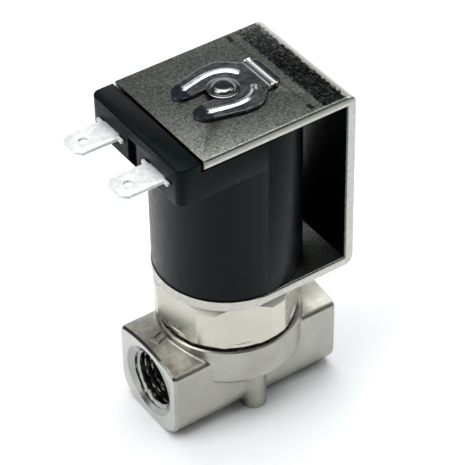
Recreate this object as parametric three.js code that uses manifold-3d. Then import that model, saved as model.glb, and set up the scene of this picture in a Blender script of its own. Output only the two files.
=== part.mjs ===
// Direct-acting, normally closed two-port solenoid valve, G1/4, with a rotatable coil.
// Millimetres, +Z up. The origin is on the coil and seat axis, at the underside of the body.
// The inlet port is at -X, the outlet port at +X, and the coil's blades point along -X.
import * as THREE from 'three';
import { mergeVertices } from 'three/addons/utils/BufferGeometryUtils.js';
import Module from 'manifold-3d';

const wasm = await Module();
wasm.setup();

// ---------------------------------------------------------------- driving dimensions
const roundSides = 48;         // sides of the large turned shapes
const innerSides = 32;         // sides of the turned pieces inside
const smallSides = 24;         // sides of small holes and rods
const clearance = 0.2;         // gap between neighbouring pieces
const closeFit = 0.1;          // gap between pieces pressed or clamped together
const past = 1;                // how far a cutting tool runs past the face it cuts

const body = {
  halfLength: 19.5,
  halfWidth: 10,
  topZ: 18.9,
  crownR: 32,                  // radius of the block's domed top, seen from its end
  topCornerR: 1.5,
  bottomCornerR: 5.8,
  endChamfer: 0.5,
  portAxisZ: 9.65,
  portR: 5.9,                  // between the minor and major radius of G1/4
  portMouthR: 7.75,
  portDepth: 10.5,
  barrelR: 14.6,
  barrelBottomZ: 12.5,
  barrelTopZ: 20.3,
  barrelFootZ: 8,              // where the barrel's underside meets the block
  spigotR: 11.5,
  spigotTopZ: 26.9,
  chamberR: 7,
  chamberFloorZ: 13,
  ringLedgeR: 9,
  ringLedgeZ: 24.4,
  bossR: 2.55,
  bossY: 8.6,
  bossHoleR: 1.25,
  bossHoleDepth: 5.5,
  passageZ: 8.4,
  passageR: 2,
  inletRunX: 5.5,              // where the inlet passage turns up into the chamber
  inletRiseR: 1.5,
  inletRunLength: 5,
  outletRunLength: 11,
  rimChamfer: 0.3,
  spigotChamfer: 0.6,
};
const seat = {
  outerR: 2.6,
  orificeR: 1.5,
  bottomZ: 10.6,
  topZ: 14.8,
  lipR: 2.1,
  collarR: 3.6,                // boss that holds the seat on the chamber's floor
  collarTopZ: 13.8,
};
const bonnet = {
  bottomZ: 21.45,
  topZ: 31.5,
  flatR: 13.5,                 // half of the 27 mm across flats
  cornerR: 14.7,
  collarTopZ: 22.4,
  chamferBottomZ: 29.6,
  chamferTopR: 13.1,
  threadR: 11.7,
  shoulderZ: 27.1,
  turn: 8.6,                   // degrees that one flat stands turned from +X
};
const tube = {
  outerR: 5.5,
  innerR: 5,
  flangeR: 8.8,
  flangeBottomZ: 26.15,
  flangeTopZ: 26.9,
  topZ: 70.5,
};
const oRing = { r: 0.8, centreR: 8.05, centreZ: 25.25 };
const core = {
  bottomZ: 46.25,
  r: 4.9,
  topGap: 0.4,                 // how far its shoulder lies below the tube's end
  stemR: 2.4,
  neckR: 1.6,
  neckBottomZ: 73,
  headZ: 73.97,
  headR: 3.2,
  headTopR: 2,
  headTopZ: 74.7,
  headRim: 0.12,
  headCrown: 0.1,
};
const shading = { innerR: 3.1, outerR: 3.8, depth: 1.6 };
const plunger = {
  bottomZ: 15,
  topZ: 45,
  r: 4.75,
  springPocketR: 2.9,
  springPocketZ: 31,
  sealPocketR: 3.3,
  sealPocketZ: 17.6,
  sealLipR: 2.8,
  sealLipZ: 15.6,
  fluteR: 1.1,
};
const seal = { r: 3.15, noseR: 2.65, bottomZ: 14.87 };
const spring = { wireR: 0.32, coilR: 2.45, turns: 7, stepsPerTurn: 12, wireSides: 6 };
const yoke = {
  frontX: -14.47,
  backX: 19.84,
  halfWidth: 15,
  thickness: 2.16,
  bottomZ: 31.7,
  topZ: 73,
  bendR: 2,
  edge: 0.35,                  // broken long edges
  stemHoleR: 2.75,
  bushHoleR: 6.75,
};
const bush = { outerR: 6.55, innerR: 5.65, topZ: 45 };
const coil = {
  r: 14.85,
  cavityR: 13.2,
  capThickness: 1.9,
  boreR: 7.7,
  headFrontX: -19.8,
  headHalfWidth: 14.85,
  headTopZ: 72.7,
  headBottomZ: 64.4,
  headCornerR: 1.1,
  wallBackX: -14.95,           // rear face of the terminal wall, in front of the yoke's edge
  slotY: 0.8,
  slotWidth: 3,
  slotDepth: 1.3,
  slotBottomZ: 64.75,
  slotTopZ: 70.2,
};
const bobbin = {
  innerR: 6.7,
  outerR: 7.5,
  flangeR: 13,
  lowerFlangeZ: 36.3,
  upperFlangeZ: 66,
  flangeThickness: 1.2,
};
const winding = { outerR: 12.1, tapeR: 12.4 };
const blade = {
  thickness: 0.8,
  topZ: 68.8,
  width: 6.3,
  centreY: 7.65,
  tipX: -29.3,
  tipChamfer: 1.3,
  shoulderX: -20.5,
  shoulderWidth: 9,
  rootWidth: 5,
  rootX: -16.4,
  holeX: -26,
  holeR: 0.9,
};
const lead = { r: 0.3, y: 5.9, channelR: 0.6, channelDrop: 0.2, channelStartGap: 0.8, channelEndX: -10.8 };
const clip = {
  thickness: 0.5,
  bottomZ: 73.35,
  slotHalfWidth: 1.8,
  tipX: -8.8,
  foldX: -5.9,
  tipDrop: 0.25,
  bendX: 7.1,
  bendHalfWidth: 4.6,
  beadX: 8.3,                  // middle of the stiffening bead across the tongue
  beadHalfWidth: 0.85,
  beadRise: 0.45,
  tongueX: 10.5,
  tongueHalfWidth: 4,
  tongueCornerR: 0.8,
};

const colours = {
  plating: [0xb9b7aa, 0.34, 0.9],
  yokeSteel: [0x70726b, 0.5, 0.85],
  coilPlastic: [0x1d2023, 0.45, 0],
  tin: [0xe4e8ea, 0.25, 0.95],
  springSteel: [0x8c9297, 0.12, 1],
  stainless: [0xb4b7b8, 0.3, 1],
  copper: [0xb56a3c, 0.35, 0.95],
  rubber: [0x191919, 0.8, 0],
  spool: [0xd9d2bd, 0.5, 0],
  tape: [0xc9a227, 0.6, 0],
};

// ---------------------------------------------------------------- solids and booleans
function solidOf(geometry) {
  const bare = geometry.clone();
  for (const name of Object.keys(bare.attributes)) {
    if (name !== 'position') bare.deleteAttribute(name);
  }
  const merged = mergeVertices(bare, 1e-4);
  const corners = merged.index.array;
  const kept = [];
  for (let i = 0; i < corners.length; i += 3) {
    const [a, b, c] = corners.slice(i, i + 3);
    if (a !== b && b !== c && c !== a) kept.push(a, b, c);
  }
  return new wasm.Manifold(new wasm.Mesh({
    numProp: 3,
    vertProperties: new Float32Array(merged.attributes.position.array),
    triVerts: new Uint32Array(kept),
  }));
}

function geometryOf(solid) {
  const mesh = solid.getMesh();
  const geometry = new THREE.BufferGeometry();
  geometry.setAttribute('position', new THREE.BufferAttribute(new Float32Array(mesh.vertProperties), 3));
  geometry.setIndex(new THREE.BufferAttribute(new Uint32Array(mesh.triVerts), 1));
  geometry.computeVertexNormals();
  return geometry;
}

const join = (...solids) => solids.reduce((all, one) => all.add(one));
const cut = (solid, ...tools) => tools.reduce((rest, tool) => rest.subtract(tool), solid);

// A turned shape about Z. The profile lists [radius, z] anticlockwise: up the outside.
function turned(profile, sides = roundSides) {
  const points = profile.map(([r, z]) => new THREE.Vector2(r, z));
  return solidOf(new THREE.LatheGeometry(points, sides).rotateX(Math.PI / 2));
}

function rod(r, z0, z1, sides = smallSides) {
  return turned([[0, z0], [r, z0], [r, z1], [0, z1]], sides);
}

function ring(innerR, outerR, z0, z1, sides = innerSides) {
  return turned([[innerR, z0], [outerR, z0], [outerR, z1], [innerR, z1], [innerR, z0]], sides);
}

// A turned shape lies along X: its own Z becomes +X or, for sense -1, -X.
function lyingAlongX(solid, sense, x, y, z) {
  return solid.rotate([0, 90 * sense, 0]).translate([x, y, z]);
}

function block(x0, x1, y0, y1, z0, z1) {
  const geometry = new THREE.BoxGeometry(x1 - x0, y1 - y0, z1 - z0);
  return solidOf(geometry.translate((x0 + x1) / 2, (y0 + y1) / 2, (z0 + z1) / 2));
}

// Extrudes an outline: shape x, shape y and depth become the three given directions.
function extruded(shape, depth, [toX, toY, toDepth], origin, options = {}) {
  const settings = { depth, bevelEnabled: false, curveSegments: 8, ...options };
  const geometry = new THREE.ExtrudeGeometry(shape, settings);
  const frame = new THREE.Matrix4().makeBasis(
    new THREE.Vector3(...toX), new THREE.Vector3(...toY), new THREE.Vector3(...toDepth));
  return solidOf(geometry.applyMatrix4(frame).translate(...origin));
}

const alongX = [[0, 1, 0], [0, 0, 1], [1, 0, 0]];      // outline in YZ
const alongMinusY = [[1, 0, 0], [0, 0, 1], [0, -1, 0]]; // outline in XZ
const alongZ = [[1, 0, 0], [0, 1, 0], [0, 0, 1]];      // outline in XY

const valve = new THREE.Group();
const coilGroup = new THREE.Group();
valve.add(coilGroup);

function addPart(group, name, solid, [color, roughness, metalness]) {
  const material = new THREE.MeshStandardMaterial({ color, roughness, metalness });
  const mesh = new THREE.Mesh(geometryOf(solid), material);
  mesh.name = name;
  group.add(mesh);
}

// ---------------------------------------------------------------- valve body and seat
function portBlock() {
  const { halfWidth: w, topZ, crownR, topCornerR: a, bottomCornerR: b, endChamfer } = body;
  // The dome and each corner arc touch where both lean by the same angle.
  const lean = Math.asin((w - a) / (crownR - a));
  const cornerZ = topZ - crownR + (crownR - a) * Math.cos(lean);
  const outline = new THREE.Shape();
  outline.moveTo(-w + b, 0);
  outline.lineTo(w - b, 0);
  outline.absarc(w - b, b, b, -Math.PI / 2, 0, false);
  outline.absarc(w - a, cornerZ, a, 0, Math.PI / 2 - lean, false);
  outline.absarc(0, topZ - crownR, crownR, Math.PI / 2 - lean, Math.PI / 2 + lean, false);
  outline.absarc(-w + a, cornerZ, a, Math.PI / 2 + lean, Math.PI, false);
  outline.lineTo(-w, b);
  outline.absarc(-w + b, b, b, Math.PI, 1.5 * Math.PI, false);
  const length = 2 * (body.halfLength - endChamfer);
  return extruded(outline, length, alongX, [-body.halfLength + endChamfer, 0, 0], {
    bevelEnabled: true,
    bevelSegments: 1,
    bevelThickness: endChamfer,
    bevelSize: endChamfer,
    bevelOffset: -endChamfer,
  });
}

function portTool(sense) {
  const { halfLength, portDepth, portR, portMouthR, portAxisZ } = body;
  const mouth = portMouthR - portR;
  const drill = turned([
    [0, 0],
    [portR, 0],
    [portR, portDepth - mouth],
    [portMouthR, portDepth],
    [portMouthR, portDepth + past],
    [0, portDepth + past],
  ]);
  return lyingAlongX(drill, sense, sense * (halfLength - portDepth), 0, portAxisZ);
}

function valveBody() {
  const barrel = turned([
    [0, body.barrelFootZ],
    [body.halfWidth, body.barrelFootZ],
    [body.barrelR, body.barrelBottomZ],
    [body.barrelR, body.barrelTopZ - body.rimChamfer],
    [body.barrelR - body.rimChamfer, body.barrelTopZ],
    [body.spigotR, body.barrelTopZ],
    [body.spigotR, body.spigotTopZ - body.spigotChamfer],
    [body.spigotR - body.spigotChamfer, body.spigotTopZ],
    [0, body.spigotTopZ],
  ]);
  const bosses = [-1, 1].map((side) =>
    rod(body.bossR, 0, body.barrelBottomZ - 0.5, 24).translate([0, side * body.bossY, 0]));
  const bossHoles = [-1, 1].map((side) =>
    rod(body.bossHoleR, -past, body.bossHoleDepth, 16).translate([0, side * body.bossY, 0]));
  const chamber = turned([
    [0, body.chamberFloorZ],
    [body.chamberR, body.chamberFloorZ],
    [body.chamberR, body.ringLedgeZ],
    [body.ringLedgeR, body.ringLedgeZ],
    [body.ringLedgeR, body.spigotTopZ + past],
    [0, body.spigotTopZ + past],
  ]);
  const seatCollar = rod(seat.collarR, body.chamberFloorZ - past, seat.collarTopZ);
  const seatHole = rod(seat.outerR + closeFit, seat.bottomZ - closeFit, seat.collarTopZ + past, innerSides);
  const { inletRunX, passageR, passageZ } = body;
  const passages = [
    lyingAlongX(rod(passageR, 0, body.inletRunLength), -1, -inletRunX, 0, passageZ),
    lyingAlongX(rod(passageR, 0, body.outletRunLength), 1, -seat.orificeR, 0, passageZ),
    rod(body.inletRiseR, passageZ, body.chamberFloorZ + past).translate([-inletRunX, 0, 0]),
    rod(seat.orificeR, passageZ, seat.bottomZ),
  ];
  const blank = cut(join(portBlock(), barrel, ...bosses), chamber);
  return cut(join(blank, seatCollar), seatHole, portTool(1), portTool(-1), ...passages, ...bossHoles);
}

function valveSeat() {
  return turned([
    [seat.orificeR, seat.bottomZ],
    [seat.outerR, seat.bottomZ],
    [seat.outerR, seat.topZ - 0.6],
    [seat.lipR, seat.topZ],
    [seat.orificeR, seat.topZ],
    [seat.orificeR, seat.bottomZ],
  ], innerSides);
}

// ---------------------------------------------------------------- bonnet and guide tube
function bonnetNut() {
  const { bottomZ, topZ, cornerR, collarTopZ, chamferBottomZ, chamferTopR } = bonnet;
  const round = turned([
    [0, bottomZ],
    [cornerR - 0.4, bottomZ],
    [cornerR, bottomZ + 0.4],
    [cornerR, chamferBottomZ],
    [chamferTopR, topZ],
    [0, topZ],
  ], 72);
  const hexagon = new THREE.Shape();
  const pointR = bonnet.flatR / Math.cos(Math.PI / 6);
  for (let i = 0; i < 6; i += 1) {
    const angle = (bonnet.turn + 30 + 60 * i) * Math.PI / 180;
    const step = i === 0 ? 'moveTo' : 'lineTo';
    hexagon[step](pointR * Math.cos(angle), pointR * Math.sin(angle));
  }
  const flats = extruded(hexagon, topZ - collarTopZ + past, alongZ, [0, 0, collarTopZ]);
  const collar = rod(cornerR + past, bottomZ - past, collarTopZ, roundSides);
  const outside = round.intersect(join(flats, collar));
  return cut(outside,
    rod(bonnet.threadR, bottomZ - past, bonnet.shoulderZ, roundSides),
    rod(tube.outerR + clearance, bottomZ, topZ + past, roundSides));
}

function guideTube() {
  return turned([
    [tube.innerR, tube.flangeBottomZ],
    [tube.flangeR, tube.flangeBottomZ],
    [tube.flangeR, tube.flangeTopZ],
    [tube.outerR, tube.flangeTopZ],
    [tube.outerR, tube.topZ],
    [tube.innerR, tube.topZ],
    [tube.innerR, tube.flangeBottomZ],
  ], innerSides);
}

function torus(centreR, r, z) {
  const geometry = new THREE.TorusGeometry(centreR, r, 8, innerSides);
  return solidOf(geometry.translate(0, 0, z));
}

function fixedCore() {
  const solid = turned([
    [0, core.bottomZ],
    [core.r, core.bottomZ],
    [core.r, tube.topZ - core.topGap],
    [core.stemR, tube.topZ - core.topGap],
    [core.stemR, core.neckBottomZ],
    [core.neckR, core.neckBottomZ],
    [core.neckR, core.headZ],
    [core.headR, core.headZ],
    [core.headR, core.headZ + core.headRim],
    [core.headTopR, core.headTopZ],
    [0, core.headTopZ + core.headCrown],
  ], innerSides);
  const groove = ring(shading.innerR - closeFit, shading.outerR + closeFit,
    core.bottomZ - past, core.bottomZ + shading.depth);
  return cut(solid, groove);
}

// ---------------------------------------------------------------- plunger
function plungerBody() {
  const { bottomZ, topZ, r, springPocketR, springPocketZ } = plunger;
  const solid = turned([
    [0, plunger.sealPocketZ],
    [plunger.sealPocketR, plunger.sealPocketZ],
    [plunger.sealPocketR, plunger.sealLipZ],
    [plunger.sealLipR, plunger.sealLipZ],
    [plunger.sealLipR, bottomZ],
    [r - 0.5, bottomZ],
    [r, bottomZ + 0.5],
    [r, topZ - 0.3],
    [r - 0.3, topZ],
    [springPocketR, topZ],
    [springPocketR, springPocketZ],
    [0, springPocketZ],
  ], innerSides);
  const flutes = [-1, 1].map((side) =>
    rod(plunger.fluteR, bottomZ - past, topZ + past, 16).translate([0, side * (r + 0.2), 0]));
  return cut(solid, ...flutes);
}

function plungerSeal() {
  return turned([
    [0, seal.bottomZ],
    [seal.noseR, seal.bottomZ],
    [seal.noseR, plunger.sealLipZ + closeFit],
    [seal.r, plunger.sealLipZ + closeFit],
    [seal.r, plunger.sealPocketZ - closeFit],
    [0, plunger.sealPocketZ - closeFit],
  ], smallSides);
}

function sweptWire(points, r, steps, sides) {
  const section = new THREE.Shape();
  for (let i = 0; i < sides; i += 1) {
    const angle = 2 * Math.PI * i / sides;
    section[i === 0 ? 'moveTo' : 'lineTo'](r * Math.cos(angle), r * Math.sin(angle));
  }
  const path = new THREE.CatmullRomCurve3(points, false, 'centripetal');
  return solidOf(new THREE.ExtrudeGeometry(section, { steps, extrudePath: path, bevelEnabled: false }));
}

function plungerSpring() {
  const { wireR, coilR, turns, stepsPerTurn, wireSides } = spring;
  const z0 = plunger.springPocketZ + wireR + closeFit;
  const z1 = core.bottomZ - wireR - closeFit;
  const steps = turns * stepsPerTurn;
  const points = [];
  for (let i = 0; i <= steps; i += 1) {
    const t = i / steps;
    const angle = 2 * Math.PI * turns * t;
    points.push(new THREE.Vector3(coilR * Math.cos(angle), coilR * Math.sin(angle), z0 + (z1 - z0) * t));
  }
  return sweptWire(points, wireR, steps, wireSides);
}

// ---------------------------------------------------------------- yoke and its bush
function yokeFrame() {
  const { frontX, backX, halfWidth: w, thickness: t, bottomZ, topZ, bendR: b, edge } = yoke;
  const outline = new THREE.Shape();
  outline.moveTo(-w, bottomZ);
  outline.lineTo(backX - b, bottomZ);
  outline.absarc(backX - b, bottomZ + b, b, -Math.PI / 2, 0, false);
  outline.lineTo(backX, topZ - b);
  outline.absarc(backX - b, topZ - b, b, 0, Math.PI / 2, false);
  outline.lineTo(frontX, topZ);
  outline.lineTo(frontX, topZ - t);
  outline.lineTo(backX - t, topZ - t);
  outline.lineTo(backX - t, bottomZ + t);
  outline.lineTo(-w, bottomZ + t);
  const strip = extruded(outline, 2 * (w - edge), alongMinusY, [0, w - edge, 0], {
    bevelEnabled: true,
    bevelSegments: 1,
    bevelThickness: edge,
    bevelSize: edge,
    bevelOffset: -edge,
    curveSegments: 6,
  });
  const frontHalf = block(-w - past, 0, -w - past, w + past, bottomZ - past, bottomZ + t + past);
  const roundFront = cut(frontHalf, rod(w, bottomZ - 2 * past, bottomZ + t + 2 * past, roundSides));
  const stemHole = rod(yoke.stemHoleR, topZ - t - past, topZ + past);
  const bushHole = rod(yoke.bushHoleR, bottomZ - past, bottomZ + t + past, roundSides);
  return cut(strip, roundFront, stemHole, bushHole);
}

function yokeBush() {
  return ring(bush.innerR, bush.outerR, yoke.bottomZ + closeFit, bush.topZ);
}

// ---------------------------------------------------------------- coil
const coilBottomZ = yoke.bottomZ + yoke.thickness + clearance;
const coilTopZ = yoke.topZ - yoke.thickness - clearance;

function terminalHead() {
  const { headFrontX, headHalfWidth: w, headTopZ, headBottomZ, headCornerR: r } = coil;
  const outline = new THREE.Shape();
  outline.moveTo(0, -w);
  outline.lineTo(0, w);
  outline.lineTo(headFrontX + r, w);
  outline.absarc(headFrontX + r, w - r, r, Math.PI / 2, Math.PI, false);
  outline.lineTo(headFrontX, -w + r);
  outline.absarc(headFrontX + r, -w + r, r, Math.PI, 1.5 * Math.PI, false);
  const edge = 0.5;
  return extruded(outline, headTopZ - headBottomZ - 2 * edge, alongZ, [0, 0, headBottomZ + edge], {
    bevelEnabled: true,
    bevelSegments: 1,
    bevelThickness: edge,
    bevelSize: edge,
    bevelOffset: -edge,
    curveSegments: 4,
  });
}

function terminalPocket(side) {
  const y = side * blade.centreY;
  const halfRoot = blade.rootWidth / 2 + clearance;
  const z0 = blade.topZ - blade.thickness - clearance;
  const rootPocket = block(coil.headFrontX - past, blade.rootX + clearance,
    y - halfRoot, y + halfRoot, z0, blade.topZ + clearance);
  const leadZ = z0 - lead.channelDrop;
  const channel = block(blade.rootX - lead.channelStartGap, lead.channelEndX,
    side * lead.y - lead.channelR, side * lead.y + lead.channelR, leadZ - lead.channelR, z0 + past);
  return join(rootPocket, channel);
}

function coilHousing() {
  const barrel = turned([
    [0, coilBottomZ],
    [coil.r - 0.4, coilBottomZ],
    [coil.r, coilBottomZ + 0.4],
    [coil.r, coilTopZ],
    [0, coilTopZ],
  ], 64);
  const yokeRecess = block(coil.wallBackX, past, -20, 20, coilTopZ, coil.headTopZ + past);
  const cavity = rod(coil.cavityR, coilBottomZ + coil.capThickness, coilTopZ - coil.capThickness, roundSides);
  const bore = rod(coil.boreR, coilBottomZ - past, coilTopZ + past, roundSides);
  const slot = block(coil.headFrontX - past, coil.headFrontX + coil.slotDepth,
    coil.slotY - coil.slotWidth / 2, coil.slotY + coil.slotWidth / 2,
    coil.slotBottomZ, coil.slotTopZ);
  const outside = cut(join(barrel, terminalHead()), yokeRecess);
  return cut(outside, cavity, bore, slot, terminalPocket(-1), terminalPocket(1));
}

const leadHoleR = 12.05;       // radius at which the leads pass the bobbin's upper flange
const leadHoleAngle = Math.asin(5.3 / leadHoleR);

function leadHolePlace(side) {
  return [-leadHoleR * Math.cos(leadHoleAngle), side * leadHoleR * Math.sin(leadHoleAngle)];
}

function coilBobbin() {
  const { innerR, outerR, flangeR, lowerFlangeZ, upperFlangeZ, flangeThickness: f } = bobbin;
  const spool = turned([
    [innerR, coilBottomZ],
    [outerR, coilBottomZ],
    [outerR, lowerFlangeZ],
    [flangeR, lowerFlangeZ],
    [flangeR, lowerFlangeZ + f],
    [outerR, lowerFlangeZ + f],
    [outerR, upperFlangeZ],
    [flangeR, upperFlangeZ],
    [flangeR, upperFlangeZ + f],
    [outerR, upperFlangeZ + f],
    [outerR, coilTopZ],
    [innerR, coilTopZ],
    [innerR, coilBottomZ],
  ], innerSides);
  const holes = [-1, 1].map((side) =>
    rod(0.6, upperFlangeZ - past, upperFlangeZ + f + past, 12).translate([...leadHolePlace(side), 0]));
  return cut(spool, ...holes);
}

const windingBottomZ = bobbin.lowerFlangeZ + bobbin.flangeThickness + closeFit;
const windingTopZ = bobbin.upperFlangeZ - closeFit;

function windingLead(side) {
  const [holeX, holeY] = leadHolePlace(side);
  const runZ = blade.topZ - blade.thickness - closeFit - lead.r;
  const points = [
    new THREE.Vector3(blade.rootX - 0.5, side * lead.y, runZ),
    new THREE.Vector3(-13.4, side * lead.y, runZ),
    new THREE.Vector3(holeX - 0.6, holeY + side * 0.35, runZ - 0.15),
    new THREE.Vector3(holeX, holeY, runZ - 0.75),
    new THREE.Vector3(holeX, holeY, windingTopZ + closeFit),
  ];
  return sweptWire(points, lead.r, 18, 8);
}

// ---------------------------------------------------------------- blades
function terminalBlade(side) {
  const { width, tipX, tipChamfer: c, shoulderX, shoulderWidth, rootWidth, rootX } = blade;
  const half = width / 2;
  const frontX = coil.headFrontX - closeFit;
  const corners = [
    [tipX, half - c],
    [tipX + c, half],
    [shoulderX, half],
    [shoulderX, shoulderWidth / 2],
    [frontX, shoulderWidth / 2],
    [frontX, rootWidth / 2],
    [rootX, rootWidth / 2],
  ];
  const mirrored = corners.map(([x, y]) => [x, -y]);
  const loop = [...mirrored, ...corners.reverse()];
  const outline = new THREE.Shape(loop.map(([x, y]) => new THREE.Vector2(x, y)));
  const hole = new THREE.Path();
  hole.absarc(blade.holeX, 0, blade.holeR, 0, 2 * Math.PI, true);
  outline.holes.push(hole);
  return extruded(outline, blade.thickness, alongZ,
    [0, side * blade.centreY, blade.topZ - blade.thickness]);
}

// ---------------------------------------------------------------- retaining clip
function clipOutline() {
  const s = clip.slotHalfWidth;
  const outer = new THREE.SplineCurve([
    new THREE.Vector2(clip.tipX, 3.6),
    new THREE.Vector2(-7.5, 5.5),
    new THREE.Vector2(clip.foldX, 6.15),
    new THREE.Vector2(-2, 7.3),
    new THREE.Vector2(1, 7.8),
    new THREE.Vector2(4.2, 7.1),
    new THREE.Vector2(6, 5.6),
    new THREE.Vector2(clip.bendX, clip.bendHalfWidth),
  ]).getPoints(24);
  const inner = [[clip.tipX, 3.6], [clip.tipX + 0.5, s + 0.6], [clip.tipX + 1.5, s]];
  const slotEnd = [];
  for (let i = 0; i <= 12; i += 1) {
    const angle = Math.PI / 2 - Math.PI * i / 12;
    slotEnd.push([s * Math.cos(angle), s * Math.sin(angle)]);
  }
  const upper = outer.slice(1).map((p) => [p.x, p.y]).reverse();
  const half = [...upper, ...inner];
  const mirrored = half.map(([x, y]) => [x, -y]).reverse();
  return new THREE.Shape([...half, ...slotEnd, ...mirrored].map(([x, y]) => new THREE.Vector2(x, y)));
}

// The prongs' tips bend down towards the yoke from the fold line on.
function tipDrop(x) {
  return x < clip.foldX ? clip.tipDrop * (clip.foldX - x) / (clip.foldX - clip.tipX) : 0;
}

function retainingClip() {
  const plate = extruded(clipOutline(), clip.thickness, alongZ, [0, 0, clip.bottomZ]);
  const sliced = geometryOf(join(
    plate.intersect(block(clip.foldX, 20, -20, 20, 70, 80)),
    plate.intersect(block(-20, clip.foldX, -20, 20, 70, 80))));
  const places = sliced.attributes.position;
  for (let i = 0; i < places.count; i += 1) {
    places.setZ(i, places.getZ(i) - tipDrop(places.getX(i)));
  }
  return join(solidOf(sliced), clipTongue());
}

// Behind the slot the sheet goes on over a bead across it and ends in a flat tongue.
function clipTongue() {
  const { bendX, bendHalfWidth, beadX, beadHalfWidth, beadRise, tongueX, bottomZ, thickness: t } = clip;
  const startX = bendX - 0.4;
  const topZ = bottomZ + t;
  const crownHalf = 0.35;
  const side = new THREE.Shape([
    [startX, bottomZ], [beadX - beadHalfWidth + 0.1, bottomZ],
    [beadX - crownHalf, bottomZ + beadRise], [beadX + crownHalf, bottomZ + beadRise],
    [beadX + beadHalfWidth - 0.1, bottomZ], [tongueX, bottomZ], [tongueX, topZ],
    [beadX + beadHalfWidth, topZ], [beadX + crownHalf + 0.1, topZ + beadRise],
    [beadX - crownHalf - 0.1, topZ + beadRise], [beadX - beadHalfWidth, topZ], [startX, topZ],
  ].map(([x, z]) => new THREE.Vector2(x, z)));
  const { tongueHalfWidth: w, tongueCornerR: r } = clip;
  const beadEndX = beadX + beadHalfWidth;
  const above = new THREE.Shape();
  above.moveTo(startX, -bendHalfWidth);
  above.lineTo(beadEndX, -bendHalfWidth);
  above.lineTo(beadEndX, -w);
  above.lineTo(tongueX - r, -w);
  above.absarc(tongueX - r, -w + r, r, -Math.PI / 2, 0, false);
  above.absarc(tongueX - r, w - r, r, 0, Math.PI / 2, false);
  above.lineTo(beadEndX, w);
  above.lineTo(beadEndX, bendHalfWidth);
  above.lineTo(startX, bendHalfWidth);
  const strip = extruded(side, 2 * bendHalfWidth, alongMinusY, [0, bendHalfWidth, 0]);
  return strip.intersect(extruded(above, 3, alongZ, [0, 0, bottomZ - past], { curveSegments: 4 }));
}

// ---------------------------------------------------------------- assembly
addPart(valve, 'valve_body', valveBody(), colours.plating);
addPart(valve, 'valve_seat', valveSeat(), colours.stainless);
addPart(valve, 'bonnet_nut', bonnetNut(), colours.plating);
addPart(valve, 'bonnet_o_ring', torus(oRing.centreR, oRing.r, oRing.centreZ), colours.rubber);
addPart(valve, 'guide_tube', guideTube(), colours.stainless);
addPart(valve, 'fixed_core', fixedCore(), colours.stainless);
addPart(valve, 'shading_ring', ring(shading.innerR, shading.outerR,
  core.bottomZ + closeFit, core.bottomZ + shading.depth - closeFit), colours.copper);
addPart(valve, 'plunger', plungerBody(), colours.stainless);
addPart(valve, 'plunger_seal', plungerSeal(), colours.rubber);
addPart(valve, 'plunger_spring', plungerSpring(), colours.springSteel);

addPart(coilGroup, 'yoke', yokeFrame(), colours.yokeSteel);
addPart(coilGroup, 'yoke_bush', yokeBush(), colours.yokeSteel);
addPart(coilGroup, 'coil_housing', coilHousing(), colours.coilPlastic);
addPart(coilGroup, 'coil_bobbin', coilBobbin(), colours.spool);
addPart(coilGroup, 'coil_winding', ring(bobbin.outerR + closeFit, winding.outerR,
  windingBottomZ, windingTopZ), colours.copper);
addPart(coilGroup, 'winding_tape', ring(winding.outerR + closeFit, winding.tapeR,
  windingBottomZ, windingTopZ - 0.6), colours.tape);
for (const [hand, side] of [['left', 1], ['right', -1]]) {
  addPart(coilGroup, `winding_lead_${hand}`, windingLead(side), colours.copper);
  addPart(coilGroup, `terminal_${hand}`, terminalBlade(side), colours.tin);
}
addPart(coilGroup, 'retaining_clip', retainingClip(), colours.springSteel);

export default valve;
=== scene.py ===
import math

import bmesh
import bpy
from mathutils import Matrix, Vector


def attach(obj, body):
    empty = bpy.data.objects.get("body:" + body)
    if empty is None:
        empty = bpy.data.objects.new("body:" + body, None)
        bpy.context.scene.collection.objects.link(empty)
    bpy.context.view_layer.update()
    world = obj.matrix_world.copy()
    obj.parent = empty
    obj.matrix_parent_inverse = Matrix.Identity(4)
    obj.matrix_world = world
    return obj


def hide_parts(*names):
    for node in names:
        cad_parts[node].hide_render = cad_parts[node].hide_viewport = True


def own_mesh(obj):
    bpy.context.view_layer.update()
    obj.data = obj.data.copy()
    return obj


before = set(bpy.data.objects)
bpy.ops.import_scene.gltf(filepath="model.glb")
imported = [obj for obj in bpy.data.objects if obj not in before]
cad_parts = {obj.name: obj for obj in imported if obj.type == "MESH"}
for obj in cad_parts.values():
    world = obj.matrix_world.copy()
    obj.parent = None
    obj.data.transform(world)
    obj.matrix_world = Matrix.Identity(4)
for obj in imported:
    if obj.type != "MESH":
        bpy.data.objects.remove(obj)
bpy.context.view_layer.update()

MM = 0.001


# ------------------------------------------------------------------ mesh helpers, in millimetres
def new_piece(name, points, faces):
    """A mesh object from points in millimetres."""
    mesh = bpy.data.meshes.new(name)
    mesh.from_pydata([(x * MM, y * MM, z * MM) for x, y, z in points], [], faces)
    mesh.update()
    piece = bpy.data.objects.new(name, mesh)
    bpy.context.scene.collection.objects.link(piece)
    return piece


def lathe(name, profile, sides=128):
    """A body turned about Z. The profile lists (radius, z) up the outside, then back."""
    points, rings = [], []
    for r, z in profile:
        start = len(points)
        if r == 0:
            points.append((0, 0, z))
            rings.append([start] * sides)
            continue
        rings.append(list(range(start, start + sides)))
        for k in range(sides):
            angle = 2 * math.pi * k / sides
            points.append((r * math.cos(angle), r * math.sin(angle), z))
    faces = []
    for low, high in zip(rings, rings[1:] + rings[:1]):
        for k in range(sides):
            after = (k + 1) % sides
            corners = dict.fromkeys((low[k], low[after], high[after], high[k]))
            if len(corners) > 2:
                faces.append(tuple(corners))
    return new_piece(name, points, faces)


def rod(r, z0, z1, x=0.0, y=0.0, sides=64):
    """An upright cylinder, mostly a tool for drilling."""
    piece = lathe("rod", [(0, z0), (r, z0), (r, z1), (0, z1)], sides)
    piece.data.transform(Matrix.Translation((x * MM, y * MM, 0)))
    return piece


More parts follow.
